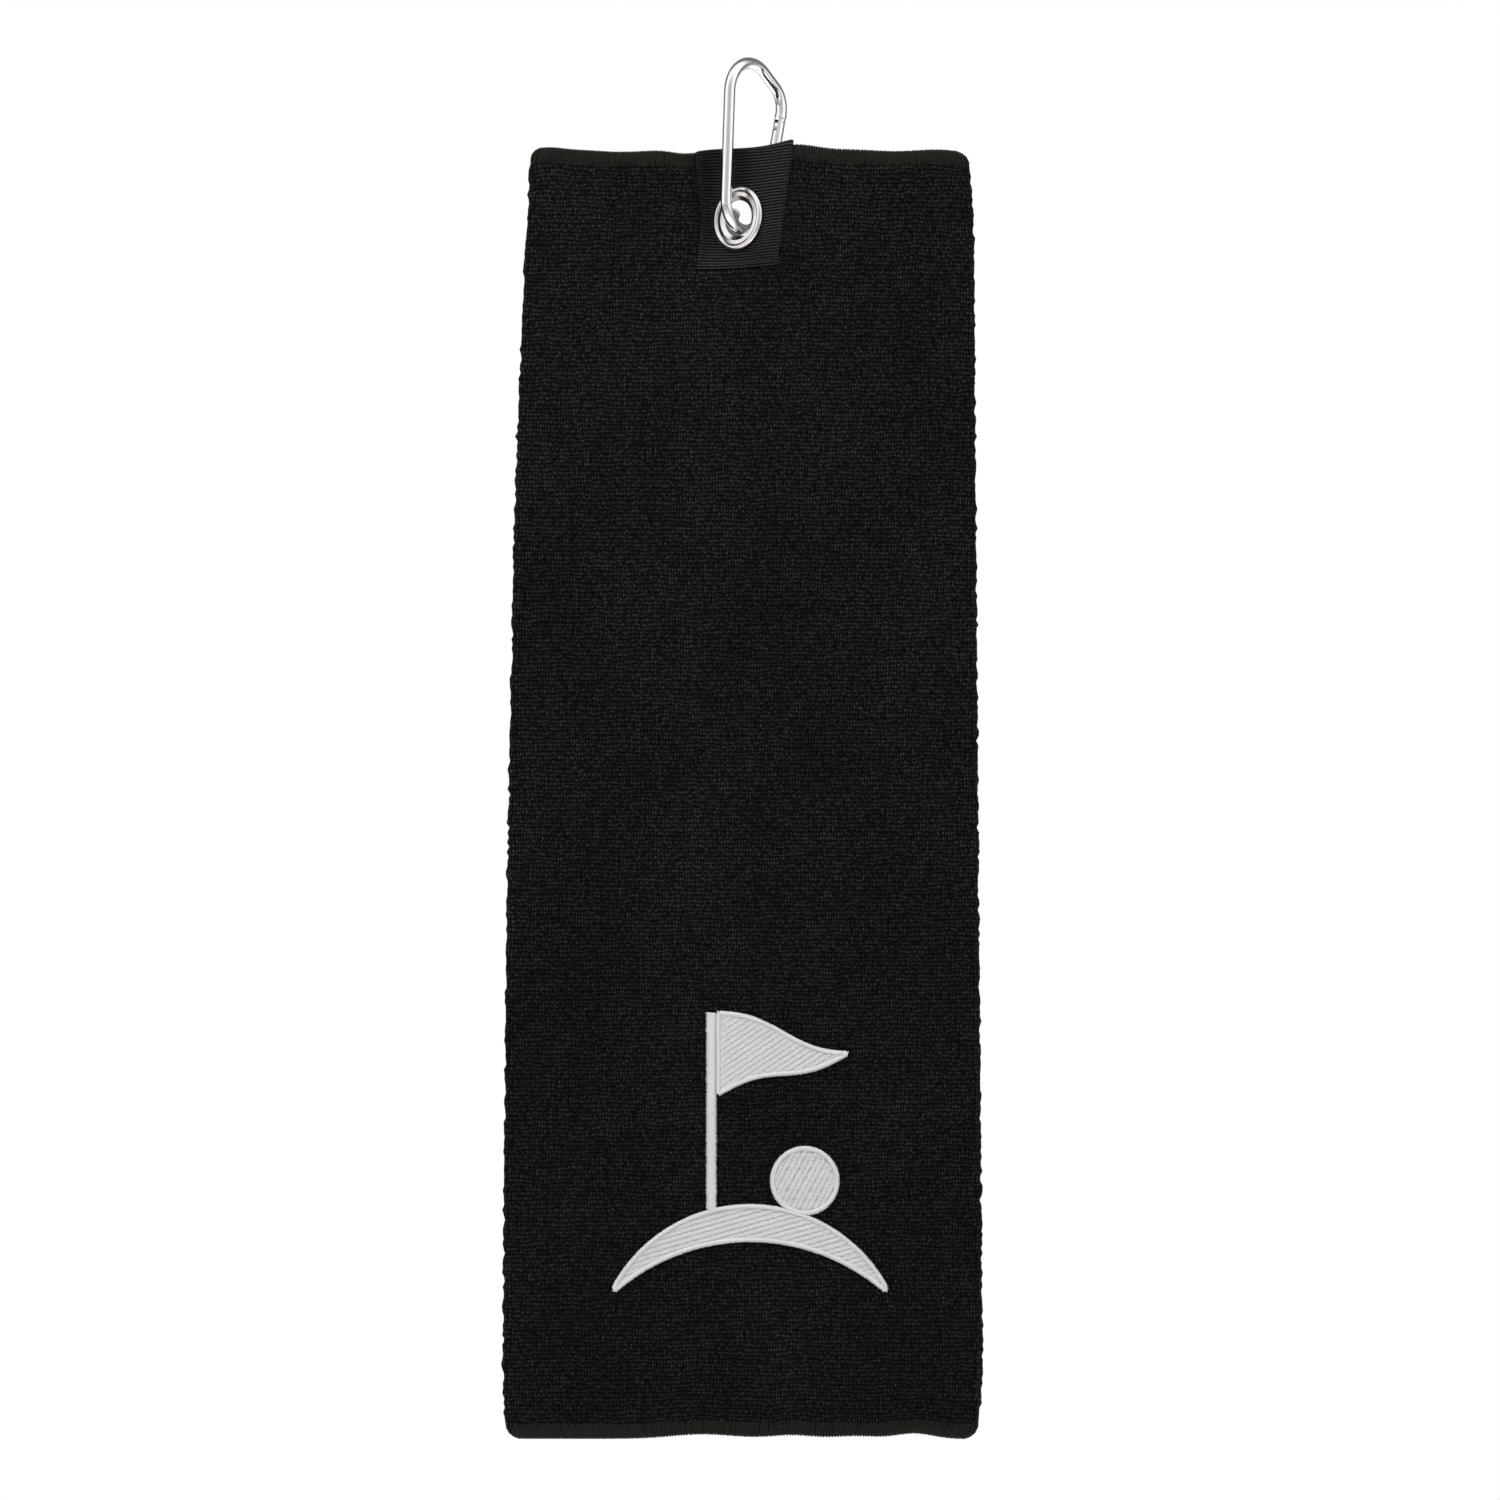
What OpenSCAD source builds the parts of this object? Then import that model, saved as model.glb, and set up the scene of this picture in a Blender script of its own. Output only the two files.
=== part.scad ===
// Golf towel: one terry sheet folded in three, hung by an eyelet from a wire snap clip.
// The towel hangs in the XZ plane with its front towards -Y. The origin is the point
// inside the clip's top bend where the clip rests on a hook or a bag ring.

/* [Towel] */
// Length of the hanging towel
towel_length = 400; // [250:5:600]
// Height of the top edge, below the origin
towel_top = -25.2; // [-30:0.1:-22]
// Left edge at the top, from the origin
left_at_top = -68.4; // [-80:0.1:-60]
// Right edge at the top, from the origin
right_at_top = 68.9; // [60:0.1:80]
// Extra width on the left towards the bottom
left_spread = 8.6; // [0:0.1:15]
// Extra width on the right towards the bottom
right_spread = 3; // [0:0.1:15]
// Thickness of one terry layer
layer_t = 1.5; // [1:0.1:2.5]
// Distance between the middles of two layers
layer_pitch = 1.75; // [1.6:0.05:3]
// How far the outer flap's free edge stops short of the opposite fold
flap_reveal = 17; // [5:1:40]
// Width of the overlocked edges
hem_w = 5; // [3:0.5:10]

/* [Eyelet and tape] */
// Distance from the top edge down to the eyelet's centre
eyelet_drop = 21.7; // [16:0.1:26]
// Centre of the eyelet across the towel
eyelet_x = -1.7; // [-6:0.1:6]
// Radius of the eyelet's flange
flange_r = 10.1; // [8:0.1:12]
// Radius of the eyelet's hole
eyelet_hole_r = 5.6; // [4.5:0.1:6.5]
// How far the eyelet is turned to the left by the clip
eyelet_turn = 43; // [0:1:45]
// How far the top of the eyelet leans to the right
eyelet_lean = 9; // [0:1:12]
// Width of the tape tab
tape_w = 30; // [20:0.5:40]
// Length of the tape tab on each side
tape_l = 38; // [25:0.5:50]
// Thickness of the tape
tape_t = 0.6; // [0.4:0.1:1]

/* [Clip] */
// Diameter of the clip's wire
wire_d = 3.5; // [3:0.1:4.5]
// Height between the wire's middles at the top and at the bottom
clip_height = 51.9; // [45:0.1:60]
// Radius of the bend beside the spine
spine_bend_r = 9.4; // [7:0.1:12]
// Radius of the shoulder bend that follows it
shoulder_bend_r = 11.2; // [8:0.1:14]
// Length of the straight between the shoulder and the nose
shoulder_l = 7.1; // [4:0.1:12]
// Radius of the bend above the nose
nose_bend_r = 8.5; // [6:0.1:11]
// Radius of the bottom bend
bottom_bend_r = 9.4; // [8:0.1:11]
// Turn of the clip's plane about the vertical
clip_turn = 50; // [40:1:55]
// Lean of the clip's spine to the right
clip_lean = 1.9; // [0:0.1:4]
// Diameter of the rivet at the foot of the gate
rivet_d = 1; // [0.8:0.1:1.2]
// Diameter of the pin at the top of the gate
latch_pin_d = 0.9; // [0.7:0.1:1.1]

/* [Embroidery] */
// Height of the motif's middle above the bottom edge
motif_height = 87; // [60:1:250]
// Middle of the motif across the towel
motif_x = 0; // [-10:0.5:10]
// Thickness of the stitching
stitch_t = 0.8; // [0.4:0.1:1.2]
// Size of the motif against its drawn size
motif_scale = 1; // [0.5:0.05:1.2]

/* [Hidden] */
eps = 0.01;
through = 40;
cloth_black = [0.09, 0.09, 0.09];
thread_olive = [0.13, 0.13, 0.11];
wire_r = wire_d / 2;
towel_bottom = towel_top - towel_length;

// ---- clip frame: u across the loop from the spine, v up from the top bend ----
shoulder_slope = atan(3 / 4);
shoulder_u = spine_bend_r + shoulder_bend_r * sin(shoulder_slope);
shoulder_v = shoulder_bend_r * cos(shoulder_slope) - shoulder_bend_r;
nose_bend_u = shoulder_u + shoulder_l * cos(shoulder_slope) - nose_bend_r * sin(shoulder_slope);
nose_bend_v = shoulder_v - shoulder_l * sin(shoulder_slope) - nose_bend_r * cos(shoulder_slope);
bend_v = bottom_bend_r - clip_height;
bends_apart = norm([nose_bend_u - bottom_bend_r, nose_bend_v - bend_v]);
gate_slope = atan2(nose_bend_u - bottom_bend_r, nose_bend_v - bend_v)
             - asin((bottom_bend_r - nose_bend_r) / bends_apart);
gate_run = sqrt(pow(bends_apart, 2) - pow(bottom_bend_r - nose_bend_r, 2));
foot_u = bottom_bend_r * (1 + cos(gate_slope));
foot_v = bend_v - bottom_bend_r * sin(gate_slope);

// ---- gate frame: w up along the gate from the rivet ----
rivet_up = 4.2;
gate_foot = 2;
collar_in = 0.4;
collar_step = 0.1;
shoulder_gap = 0.7;
nose_collar = 0.9;
nose_gap = 0.3;
nose_w = gate_run - rivet_up;
gate_top = nose_w - nose_collar - nose_gap;
slot_w = 1.6;
tang_t = 1.3;
tang_w = 2.8;
tang_top = 2.6;
slot_clear = 0.5;
foot_slot_top = tang_top + slot_clear;
nose_slot = 4;
tongue_l = 3.6;
latch_drop = 2.2;
latch_w = nose_w - latch_drop;
plunger_d = 1.5;
plunger_bore_d = 1.6;
plunger_l = 5;
plunger_gap = 0.4;
chamber_l = 10.6;
spring_wire_d = 0.3;
spring_turns = 8;
rivet_running_clear = 0.06;

// ---- where the wire runs through the towel ----
cross_u = 8.6;
cross_v = bend_v - sqrt(pow(bottom_bend_r, 2) - pow(bottom_bend_r - cross_u, 2));
function clip_point(u, v) =
    let (x = (u - spine_bend_r) * cos(clip_turn), z = v + wire_r)
    [x * cos(clip_lean) + z * sin(clip_lean), (u - spine_bend_r) * sin(clip_turn),
     z * cos(clip_lean) - x * sin(clip_lean)];
towel_y = clip_point(cross_u, cross_v)[1];
eyelet_z = towel_top - eyelet_drop;

// ---- how the clip's pull twists the cloth round the eyelet ----
function eyelet_front() = [-sin(eyelet_turn) * cos(eyelet_lean), -cos(eyelet_turn),
                           sin(eyelet_turn) * sin(eyelet_lean)];
twist_w = 14;
twist_up = 21;
twist_down = 16;
function fade(d, size) = exp(-pow(abs(d) / size, 4));
function twist(dx, dz) =
    let (n = eyelet_front())
    -(n[0] * dx + n[2] * dz) / n[1] * fade(dx, twist_w)
    * fade(dz, dz > 0 ? twist_up : twist_down);
function steepness(dx, dz) =
    let (step = 0.2,
         sx = (twist(dx + step, dz) - twist(dx - step, dz)) / (2 * step),
         sz = (twist(dx, dz + step) - twist(dx, dz - step)) / (2 * step))
    sqrt(1 + sx * sx + sz * sz);
squeeze = 0.34;
squeeze_w = 19;
squeeze_h = 22;
function pressed(dx, dz) = 1 - squeeze * fade(dx, squeeze_w) * fade(dz, squeeze_h);

// ---- outline of the hanging towel ----
spread_rate = 0.38;
top_corner = 3;
bottom_corner = 4.5;
function down(z) = (towel_top - z) / towel_length;
function corner(d, r) = d >= r ? 0 : r - sqrt(max(0, r * r - (r - d) * (r - d)));
function corners(z) = corner(towel_top - z, top_corner) + corner(z - towel_bottom, bottom_corner);
function left_edge(z) = left_at_top - left_spread * (1 - exp(-down(z) / spread_rate)) + corners(z);
function right_edge(z) = right_at_top + right_spread * down(z) - corners(z);

// ---- the folded sheet: a path across the towel as [position 0..1 from left, offset] ----
folded_w = 145;
fold_inset = 0.012;
outer_free = fold_inset + flap_reveal / folded_w;
inner_free = 1 - fold_inset - flap_reveal / folded_w;
function row(a, b, off, n, skip) =
    [for (i = [skip : n]) [a + (b - a) * i / n, off]];
function turn(at, dir, mid, r, a0, a1, n, skip) =
    [for (i = [skip : n]) let (a = a0 + (a1 - a0) * i / n)
        [at + dir * fold_inset * sin(a), mid - r * cos(a)]];
front_steps = 28;
flap_steps = 20;
fold_steps = 4;
function inner_flap() = row(inner_free, fold_inset, 0, flap_steps, 0);
function left_fold() = turn(fold_inset, -1, -layer_pitch / 2, layer_pitch / 2, 180, 0, fold_steps, 1);
function front_panel() = row(fold_inset, 1 - fold_inset, -layer_pitch, front_steps, 1);
function right_fold() = turn(1 - fold_inset, 1, 0, layer_pitch, 0, 180, fold_steps, 1);
function outer_flap() = row(1 - fold_inset, outer_free, layer_pitch, flap_steps, 1);
function fold_path() = concat(inner_flap(), left_fold(), front_panel(), right_fold(), outer_flap());
// Side of the path that faces away from the towel's middle, as [across, offset]
function path_side(path, i) =
    let (a = path[max(0, i - 1)], b = path[min(len(path) - 1, i + 1)],
         d = [(b[0] - a[0]) * folded_w, b[1] - a[1]])
    [d[1], -d[0]] / norm(d);
function on_towel(s, off, z) =
    let (x = left_edge(z) + s * (right_edge(z) - left_edge(z)),
         dx = x - eyelet_x, dz = z - eyelet_z)
    [x, towel_y + twist(dx, dz) + off * pressed(dx, dz) * steepness(dx, dz), z];
function skin(path, half, z) =
    let (n = len(path))
    concat([for (i = [0 : n - 1]) let (m = path_side(path, i))
                on_towel(path[i][0] + m[0] * half / folded_w, path[i][1] + m[1] * half, z)],
           [for (i = [n - 1 : -1 : 0]) let (m = path_side(path, i))
                on_towel(path[i][0] - m[0] * half / folded_w, path[i][1] - m[1] * half, z)]);

// Closed solid that follows a path across the towel, of half thickness half[k] at height zs[k]
module folded_solid(path, zs, half) {
    n = len(path);
    ring = 2 * n;
    rows = len(zs);
    points = [for (k = [0 : rows - 1]) each skin(path, half[k], zs[k])];
    walls = [for (k = [0 : rows - 2]) for (i = [0 : ring - 1]) let (j = (i + 1) % ring)
        each [[k * ring + i, k * ring + j, (k + 1) * ring + j],
              [k * ring + i, (k + 1) * ring + j, (k + 1) * ring + i]]];
    top_cap = [for (i = [0 : n - 2])
        each [[i, ring - 2 - i, i + 1], [i, ring - 1 - i, ring - 2 - i]]];
    low = (rows - 1) * ring;
    bottom_cap = [for (i = [0 : n - 2])
        each [[low + i, low + i + 1, low + ring - 2 - i],
              [low + i, low + ring - 2 - i, low + ring - 1 - i]]];
    polyhedron(points = points, faces = concat(walls, top_cap, bottom_cap), convexity = 12);
}

// Heights of the rows of the cloth: close together round the eyelet
cloth_rows = [for (d = [hem_w, 9, 13, 17, 21.5, 26, 30, 35, 42, 55, 120, 260, towel_length - hem_w])
              towel_top - d];
hem_half = 0.45;
band_half = 0.75;

module through_eyelet(r) {
    at_eyelet() cylinder(r = r, h = through, center = true, $fn = 48);
}

// Eyelet frame: Z runs out of the front of the eyelet
module at_eyelet() {
    translate([eyelet_x, towel_y, eyelet_z])
        rotate([0, eyelet_lean, 0])
            rotate([0, 0, -eyelet_turn])
                rotate([90, 0, 0])
                    children();
}

module towel_cloth() {
    zs = concat([towel_top - 0.4, towel_top - hem_w + 0.1], cloth_rows,
                [towel_bottom + hem_w - 0.1, towel_bottom + 0.4]);
    half = concat([hem_half, hem_half], [for (z = cloth_rows) layer_t / 2],
                  [hem_half, hem_half]);
    color(cloth_black)
        difference() {
            folded_solid(fold_path(), zs, half);
            through_eyelet(eyelet_hole_r + 0.8);
        }
}

// Overlock thread, wrapped over the cut edge of the cloth, which runs on inside it
module overlock(top, bottom) {
    zs = [top, (top + bottom) / 2, bottom];
    color(thread_olive) folded_solid(fold_path(), zs, [for (z = zs) band_half]);
}

module top_hem_overlock() {
    overlock(towel_top, towel_top - hem_w + 0.2);
}

module bottom_hem_overlock() {
    overlock(towel_bottom + hem_w - 0.2, towel_bottom);
}

// Overlock thread along a flap's free edge, as a thin bar against the edge
module flap_overlock(s, off, dir) {
    inner_rows = [for (z = cloth_rows) if (z < towel_top - hem_w && z > towel_bottom + hem_w) z];
    rows = concat([towel_top - hem_w - 0.2], inner_rows, [towel_bottom + hem_w + 0.2]);
    bar = 1.2 / folded_w;
    clear = 0.3 / folded_w;
    path = [for (i = [0 : 2]) [s + dir * (clear + bar * i / 2), off]];
    color(thread_olive) folded_solid(path, rows, [for (z = rows) band_half]);
}

module inner_flap_overlock() {
    flap_overlock(inner_free, 0, 1);
}

module outer_flap_overlock() {
    flap_overlock(outer_free, layer_pitch, -1);
}

// ---- tape tab, folded over the top edge ----
tape_left = eyelet_x - tape_w / 2;
tape_right = tape_left + tape_w;
stack_half = layer_pitch + band_half;
tape_over = 0.9;
// Points down the front, over the top edge and down the back, as [offset, height]
function tape_path() =
    let (off = stack_half + 0.1 + tape_t / 2)
    concat([for (d = [tape_l, 33, 28, 24, 20, 16, 11, 6, 2]) [-off, towel_top - d]],
           [for (a = [0 : 45 : 180]) [-off * cos(a), towel_top + tape_over * sin(a)]],
           [for (d = [2, 6, 11, 16, 20, 24, 28, 33, tape_l]) [off, towel_top - d]]);
function on_stack(x, off, z) =
    let (dx = x - eyelet_x, dz = z - eyelet_z)
    [x, towel_y + twist(dx, dz) + off * pressed(dx, dz) * steepness(dx, dz), z];
function tape_side(path, i) =
    let (a = path[max(0, i - 1)], b = path[min(len(path) - 1, i + 1)], d = b - a)
    [-d[1], d[0]] / norm(d);

module eyelet_tape() {
    path = tape_path();
    n = len(path);
    columns = 12;
    ring = 2 * n;
    function tape_ring(x) = concat(
        [for (i = [0 : n - 1]) let (m = tape_side(path, i) * tape_t / 2)
            on_stack(x, path[i][0] + m[0], path[i][1] + m[1])],
        [for (i = [n - 1 : -1 : 0]) let (m = tape_side(path, i) * tape_t / 2)
            on_stack(x, path[i][0] - m[0], path[i][1] - m[1])]);
    points = [for (k = [0 : columns]) each tape_ring(tape_left + tape_w * k / columns)];
    walls = [for (k = [0 : columns - 1]) for (i = [0 : ring - 1]) let (j = (i + 1) % ring)
        each [[k * ring + i, (k + 1) * ring + j, k * ring + j],
              [k * ring + i, (k + 1) * ring + i, (k + 1) * ring + j]]];
    near_cap = [for (i = [0 : n - 2])
        each [[i, i + 1, ring - 2 - i], [i, ring - 2 - i, ring - 1 - i]]];
    low = columns * ring;
    far_cap = [for (i = [0 : n - 2])
        each [[low + i, low + ring - 2 - i, low + i + 1],
              [low + i, low + ring - 1 - i, low + ring - 2 - i]]];
    color([0.13, 0.125, 0.12])
        difference() {
            polyhedron(points = points, faces = concat(walls, near_cap, far_cap), convexity = 8);
            through_eyelet(eyelet_hole_r + 0.8);
        }
}

// Lockstitch: short straight stitches on both faces of the tape
stitch_pitch = 3;
stitch_l = 2.4;
stitch_d = 0.45;
seam_inset = 1.5;
module stitch(x, z, side, upright) {
    off = side * (stack_half + 0.1 + tape_t);
    half = stitch_l / 2;
    a = upright ? on_stack(x, off, z - half) : on_stack(x - half, off, z);
    b = upright ? on_stack(x, off, z + half) : on_stack(x + half, off, z);
    d = b - a;
    translate(a + [0, side * (stitch_d / 2 + 0.03), 0])
        rotate([0, acos(d[2] / norm(d)), atan2(d[1], d[0])])
            cylinder(d = stitch_d, h = norm(d), $fn = 16);
}

module tape_stitching() {
    color([0.1, 0.1, 0.1])
        for (side = [-1, 1]) {
            for (x = [tape_left + 3 : stitch_pitch : tape_right - 2.5])
                stitch(x, towel_top - tape_l + seam_inset, side, false);
            for (x = [tape_left + seam_inset, tape_right - seam_inset])
                for (d = [4 : stitch_pitch : tape_l - 4])
                    stitch(x, towel_top - d, side, true);
        }
}

// ---- eyelet: a rolled flange with its barrel, and a washer behind ----
stack_front = 3.1;
roll_r = 1;
barrel_t = 0.5;
barrel_back = -3.3;
module eyelet_barrel() {
    color("silver")
        at_eyelet()
            difference() {
                union() {
                    translate([0, 0, stack_front])
                        rotate_extrude($fn = 96)
                            translate([flange_r - roll_r, 0]) circle(r = roll_r, $fn = 32);
                    translate([0, 0, stack_front - 0.5])
                        cylinder(r1 = flange_r - roll_r, r2 = flange_r - roll_r - 1, h = 0.9, $fn = 96);
                    translate([0, 0, barrel_back])
                        cylinder(r = eyelet_hole_r + barrel_t, h = stack_front - barrel_back, $fn = 96);
                    translate([0, 0, barrel_back])
                        cylinder(r = eyelet_hole_r + barrel_t + 0.9, h = 0.5, $fn = 96);
                }
                cylinder(r = eyelet_hole_r, h = through, center = true, $fn = 96);
                translate([0, 0, stack_front - 0.2])
                    cylinder(r1 = eyelet_hole_r, r2 = flange_r - roll_r - 1.2, h = 1, $fn = 96);
            }
}

module eyelet_washer() {
    washer_front = -2.2;
    washer_t = 0.55;
    color("silver")
        at_eyelet()
            difference() {
                union() {
                    translate([0, 0, washer_front - washer_t])
                        cylinder(r = flange_r - 0.5, h = washer_t, $fn = 96);
                    translate([0, 0, washer_front - washer_t])
                        rotate_extrude($fn = 96)
                            translate([flange_r - 1.2, 0]) circle(r = 0.55, $fn = 24);
                }
                cylinder(r = eyelet_hole_r + barrel_t + 0.04, h = through, center = true, $fn = 96);
            }
}

// ---- clip ----
module clip_place() {
    rotate([0, clip_lean, 0])
        rotate([0, 0, clip_turn])
            translate([-spine_bend_r, 0, wire_r])
                children();
}

// Bend of the wire about [u, v], from angle a0 to angle a1 in the clip's plane
module bend(u, v, r, a0, a1) {
    translate([u, 0, v])
        rotate([90, 0, 0])
            rotate([0, 0, a0])
                mirror([0, a1 < a0 ? 1 : 0, 0])
                    rotate_extrude(angle = abs(a1 - a0), $fn = 128)
                        translate([r, 0]) circle(r = wire_r, $fn = 48);
}

// Gate frame: origin on the rivet, Z up along the gate
module gate_place() {
    clip_place()
        translate([foot_u, 0, foot_v])
            rotate([0, gate_slope, 0])
                translate([0, 0, rivet_up])
                    children();
}

module carabiner_body() {
    shoulder = -gate_foot - shoulder_gap;
    color([0.78, 0.79, 0.8]) {
        difference() {
            union() {
                clip_place() {
                    translate([0, 0, bend_v]) cylinder(r = wire_r, h = -spine_bend_r - bend_v, $fn = 48);
                    bend(spine_bend_r, -spine_bend_r, spine_bend_r, 90, 180);
                    bend(spine_bend_r, -shoulder_bend_r, shoulder_bend_r, 90 - shoulder_slope, 90);
                    translate([shoulder_u, 0, shoulder_v])
                        rotate([0, 90 + shoulder_slope, 0])
                            cylinder(r = wire_r, h = shoulder_l, $fn = 48);
                    bend(nose_bend_u, nose_bend_v, nose_bend_r, 90 - shoulder_slope, -gate_slope);
                    bend(bottom_bend_r, bend_v, bottom_bend_r, 180, 360 - gate_slope);
                }
                gate_place() {
                    translate([0, 0, -rivet_up - collar_in])
                        cylinder(r = wire_r + collar_step, h = rivet_up + shoulder + collar_in,
                                 $fn = 48);
                    translate([-tang_w / 2, -tang_t / 2, shoulder - eps])
                        cube([tang_w, tang_t, tang_top - shoulder + eps]);
                    translate([0, 0, nose_w - nose_collar])
                        cylinder(r = wire_r + collar_step, h = nose_collar + collar_in, $fn = 48);
                    translate([-tang_w / 2, -tang_t / 2, nose_w - tongue_l])
                        cube([tang_w, tang_t, tongue_l + 0.6]);
                }
            }
            gate_place() {
                rotate([90, 0, 0])
                    cylinder(d = rivet_d + 2 * rivet_running_clear, h = through, center = true, $fn = 48);
                translate([0, 0, latch_w]) rotate([90, 0, 0])
                    cylinder(d = latch_pin_d + 0.3, h = through, center = true, $fn = 48);
                translate([-5, -5, latch_w - (latch_pin_d + 0.3) / 2])
                    cube([5, 10, latch_pin_d + 0.3]);
            }
        }
    }
}

module carabiner_gate() {
    color([0.74, 0.75, 0.77])
        gate_place()
            difference() {
                translate([0, 0, -gate_foot]) cylinder(r = wire_r, h = gate_foot + gate_top, $fn = 48);
                translate([-5, -slot_w / 2, -gate_foot - 1])
                    cube([10, slot_w, gate_foot + foot_slot_top + 1]);
                translate([-5, -slot_w / 2, gate_top - nose_slot])
                    cube([10, slot_w, nose_slot + 1]);
                translate([0, 0, foot_slot_top - eps])
                    cylinder(d = plunger_bore_d, h = chamber_l, $fn = 32);
                rotate([90, 0, 0]) cylinder(d = rivet_d, h = through, center = true, $fn = 48);
                translate([0, 0, latch_w]) rotate([90, 0, 0])
                    cylinder(d = latch_pin_d, h = through, center = true, $fn = 48);
            }
}

module gate_hinge_rivet() {
    color([0.66, 0.66, 0.68])
        gate_place()
            rotate([90, 0, 0]) cylinder(d = rivet_d, h = wire_d + 0.2, center = true, $fn = 48);
}

module gate_latch_pin() {
    color([0.66, 0.66, 0.68])
        gate_place()
            translate([0, 0, latch_w])
                rotate([90, 0, 0]) cylinder(d = latch_pin_d, h = wire_d + 0.1, center = true, $fn = 48);
}

module gate_plunger() {
    color([0.7, 0.65, 0.4])
        gate_place()
            translate([0, 0, tang_top + plunger_gap])
                cylinder(d = plunger_d, h = plunger_l, $fn = 32);
}

// Coil spring above the plunger, as a round wire swept along a helix
module gate_spring() {
    start = tang_top + plunger_gap + plunger_l + spring_wire_d / 2 + 0.02;
    end = foot_slot_top + chamber_l - spring_wire_d / 2 - 0.02;
    coil_r = plunger_bore_d / 2 - spring_wire_d / 2 - 0.03;
    per_turn = 14;
    steps = spring_turns * per_turn;
    sides = 6;
    points = [for (i = [0 : steps]) let (a = 360 * i / per_turn, z = start + (end - start) * i / steps)
        for (k = [0 : sides - 1]) let (b = 360 * k / sides, r = coil_r + spring_wire_d / 2 * cos(b))
            [r * cos(a), r * sin(a), z + spring_wire_d / 2 * sin(b)]];
    walls = [for (i = [0 : steps - 1]) for (k = [0 : sides - 1]) let (m = (k + 1) % sides)
        each [[i * sides + k, i * sides + m, (i + 1) * sides + m],
              [i * sides + k, (i + 1) * sides + m, (i + 1) * sides + k]]];
    ends = [[for (k = [sides - 1 : -1 : 0]) k],
            [for (k = [0 : sides - 1]) steps * sides + k]];
    color([0.6, 0.6, 0.62])
        gate_place()
            polyhedron(points = points, faces = concat(walls, ends), convexity = 10);
}

// ---- embroidery: a flag on a green with a ball ----
motif_y = towel_y - layer_pitch - layer_t / 2;
module motif(depth) {
    translate([motif_x, motif_y, towel_bottom + motif_height])
        rotate([90, 0, 0])
            linear_extrude(depth)
                scale(motif_scale)
                    children();
}

pole_x = -12;
pole_w = 3.2;
pole_foot = -16.1;
pole_top = 45;
hill_r = 48;
hill_mid = -63;
hill_cut_r = 64;
hill_cut_at = [0, -89.3];
hill_w = 84;
hill_foot = -45;
ball_r = 10;
ball_at = [17, -7];
module hill_shape() {
    intersection() {
        difference() {
            translate([0, hill_mid]) circle(r = hill_r, $fn = 180);
            translate(hill_cut_at) circle(r = hill_cut_r, $fn = 180);
        }
        translate([-hill_w / 2, hill_foot]) square([hill_w, 40]);
    }
}

module embroidery_pole() {
    color("whitesmoke")
        motif(stitch_t)
            translate([pole_x - pole_w / 2, pole_foot]) square([pole_w, pole_top - pole_foot]);
}

pennant_l = 40;
pennant_h = 25;
module embroidery_pennant() {
    color("whitesmoke")
        motif(stitch_t)
            translate([pole_x + pole_w / 2 + 0.6, pole_top - pennant_h])
                polygon(concat(
                    [for (i = [0 : 12]) let (t = i / 12)
                        [pennant_l * t, pennant_h / 2 * t + 1.6 * sin(360 * t)]],
                    [for (i = [12 : -1 : 0]) let (t = i / 12)
                        [pennant_l * t, pennant_h - pennant_h / 2 * t + 1.6 * sin(360 * t) + 0.01]]));
}

module embroidery_hill() {
    color("whitesmoke") motif(stitch_t) hill_shape();
}

module embroidery_ball() {
    color("whitesmoke") motif(stitch_t) translate(ball_at) circle(r = ball_r, $fn = 96);
}

// Cut-away backing that stays behind the stitches, between the front panel and the flap
module embroidery_backing() {
    backing_w = 96;
    backing_h = 98;
    color("white")
        translate([motif_x - backing_w / 2, towel_y - layer_pitch + layer_t / 2 + 0.05,
                   towel_bottom + motif_height - backing_h / 2])
            cube([backing_w, 0.15, backing_h]);
}

towel_cloth();
top_hem_overlock();
bottom_hem_overlock();
inner_flap_overlock();
outer_flap_overlock();
eyelet_tape();
tape_stitching();
eyelet_barrel();
eyelet_washer();
embroidery_pole();
embroidery_pennant();
embroidery_hill();
embroidery_ball();
embroidery_backing();
carabiner_body();
carabiner_gate();
gate_hinge_rivet();
gate_latch_pin();
gate_plunger();
gate_spring();
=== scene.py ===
"""Looks of the golf towel: terry sheet folded in three, tape tab, eyelet, snap clip, embroidery.

Lengths are in millimetres up to mesh_object(), which turns them into metres.
"""
import math

import bpy
import numpy as np
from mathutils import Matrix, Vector

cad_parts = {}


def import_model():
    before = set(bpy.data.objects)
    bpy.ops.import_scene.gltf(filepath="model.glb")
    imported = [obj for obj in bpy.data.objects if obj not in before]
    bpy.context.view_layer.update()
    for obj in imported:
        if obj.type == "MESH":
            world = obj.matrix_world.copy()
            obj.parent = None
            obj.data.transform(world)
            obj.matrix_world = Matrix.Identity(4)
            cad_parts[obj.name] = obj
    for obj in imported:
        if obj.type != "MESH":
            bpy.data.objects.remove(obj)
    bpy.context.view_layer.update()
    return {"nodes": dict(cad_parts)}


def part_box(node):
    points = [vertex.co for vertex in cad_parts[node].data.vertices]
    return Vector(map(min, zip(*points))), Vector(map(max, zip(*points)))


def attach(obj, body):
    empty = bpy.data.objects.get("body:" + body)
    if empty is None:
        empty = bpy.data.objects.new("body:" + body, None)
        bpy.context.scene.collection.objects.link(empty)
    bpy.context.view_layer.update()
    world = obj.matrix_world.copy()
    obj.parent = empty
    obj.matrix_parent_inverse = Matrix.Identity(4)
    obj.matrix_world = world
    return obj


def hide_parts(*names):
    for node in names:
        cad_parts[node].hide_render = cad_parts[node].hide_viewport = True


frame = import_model()
MM = 0.001
rng = np.random.default_rng(7)


def box_mm(node):
    """Lowest and highest corner of a CAD node, in millimetres."""
    low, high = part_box(node)
    return np.array(low) / MM, np.array(high) / MM


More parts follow.
